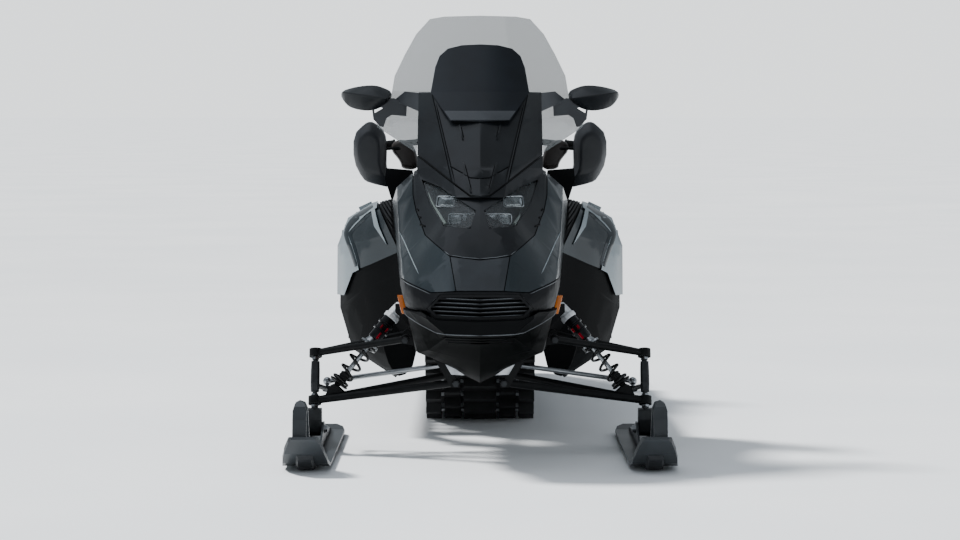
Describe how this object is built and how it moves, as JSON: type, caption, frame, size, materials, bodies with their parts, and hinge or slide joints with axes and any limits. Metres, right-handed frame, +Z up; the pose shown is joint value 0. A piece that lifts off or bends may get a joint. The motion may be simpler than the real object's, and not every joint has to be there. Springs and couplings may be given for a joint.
{
  "type": "snowmobile",
  "caption": "Two-seat touring snowmobile with steered skis, a rubber track, a faired nose, windscreen, mirrors, seat and rear rack.",
  "frame": {"origin": "on the ground under the middle of the vehicle's length and width", "axes": "-Y is the front, +X the vehicle's left side, +Z up"},
  "size_m": [1.216, 3.146, 1.417],
  "materials": {
    "hood_gloss": "glossy",
    "panel_teal": "glossy",
    "panel_silver": "glossy",
    "trim_black": "matt",
    "belly_black": "satin",
    "clear_lens": "transparent",
    "lamp_reflector": "metallic",
    "clear_screen": "transparent",
    "frame_metal": "satin",
    "bare_aluminium": "satin",
    "tunnel_metal": "satin",
    "engine_grey": "matt",
    "rubber": "matt",
    "rail_plastic": "satin",
    "seat_vinyl": "matt",
    "spring_steel": "glossy",
    "red_lens": "glossy",
    "amber_lens": "glossy",
    "screen_glass": "glossy",
    "chrome_steel": "polished"
  },
  "bodies": {
    "chassis": {"backrest": "seat_vinyl", "belly_pan": "belly_black", "console": "trim_black", "deflector": "hood_gloss", "drive_axle": "rail_plastic", "engine_block": "engine_grey", "fender_rims": "panel_silver", "fenders": "panel_teal", "flank_panels": "belly_black", "front_bumper": "belly_black", "front_frame": "frame_metal", "front_swing_arm": "frame_metal", "gauge": "screen_glass", "grab_rail": "frame_metal", "grille": "trim_black", "headlamp_covers": "clear_lens", "headlamp_units": "lamp_reflector", "hood": "hood_gloss", "lower_arms": "frame_metal", "mirror_brackets": "trim_black", "mirror_heads": "hood_gloss", "nose_panel": "hood_gloss", "nose_surround": "trim_black", "passenger_seat": "seat_vinyl", "rear_axle": "rail_plastic", "rear_bumper": "frame_metal", "rear_rack": "frame_metal", "rear_swing_arm": "frame_metal", "rider_seat": "seat_vinyl", "road_wheels": "rail_plastic", "running_boards": "tunnel_metal", "screen_ears": "trim_black", "shock_absorbers": "bare_aluminium", "side_markers": "amber_lens", "side_panels": "panel_teal", "side_vents": "trim_black", "slide_rails": "bare_aluminium", "slide_shocks": "spring_steel", "snow_flap": "rubber", "springs": "spring_steel", "tail_lamp": "red_lens", "top_axle": "rail_plastic", "track": "rubber", "tunnel": "tunnel_metal", "upper_arms": "frame_metal", "windscreen": "clear_screen", "windscreen_fairing": "belly_black"},
    "steering": {"handlebar": "frame_metal", "grips": "rubber", "controls": "trim_black", "hand_guards": "trim_black"},
    "spindle_left": {"spindle_left": "frame_metal"},
    "spindle_right": {"spindle_right": "frame_metal"},
    "tie_rod_left": {"tie_rod_left": "chrome_steel"},
    "tie_rod_right": {"tie_rod_right": "chrome_steel"},
    "ski_left": {"ski_left": "belly_black"},
    "ski_right": {"ski_right": "belly_black"}
  },
  "joints": [
    {"name": "steer", "type": "hinge", "parent": "chassis", "child": "steering", "pos_m": [0, -0.39, 1], "axis": [0, 0.4226, 0.9063], "range_deg": [-30, 30]},
    {"name": "ski_steer_left", "type": "hinge", "parent": "chassis", "child": "spindle_left", "pos_m": [0.533, -1.01, 0.167], "axis": [0, 0.3757, 0.9267], "range_deg": [-23, 23]},
    {"name": "tie_rod_swing_left", "type": "hinge", "parent": "spindle_left", "child": "tie_rod_left", "pos_m": [0.5, -0.892, 0.192], "axis": [0, 0.3757, 0.9267], "range_deg": [-23, 23]},
    {"name": "ski_rock_left", "type": "hinge", "parent": "spindle_left", "child": "ski_left", "pos_m": [0.533, -1.005, 0.074], "axis": [1, 0, 0], "range_deg": [-12, 12]},
    {"name": "ski_steer_right", "type": "hinge", "parent": "chassis", "child": "spindle_right", "pos_m": [-0.533, -1.01, 0.167], "axis": [0, 0.3757, 0.9267], "range_deg": [-23, 23]},
    {"name": "tie_rod_swing_right", "type": "hinge", "parent": "spindle_right", "child": "tie_rod_right", "pos_m": [-0.5, -0.892, 0.192], "axis": [0, 0.3757, 0.9267], "range_deg": [-23, 23]},
    {"name": "ski_rock_right", "type": "hinge", "parent": "spindle_right", "child": "ski_right", "pos_m": [-0.533, -1.005, 0.074], "axis": [1, 0, 0], "range_deg": [-12, 12]}
  ],
  "couplings": [
    {"joint": "ski_steer_left", "follows": "steer", "ratio": 0.75},
    {"joint": "tie_rod_swing_left", "follows": "steer", "ratio": -0.75},
    {"joint": "ski_steer_right", "follows": "steer", "ratio": 0.75},
    {"joint": "tie_rod_swing_right", "follows": "steer", "ratio": -0.75}
  ]
}
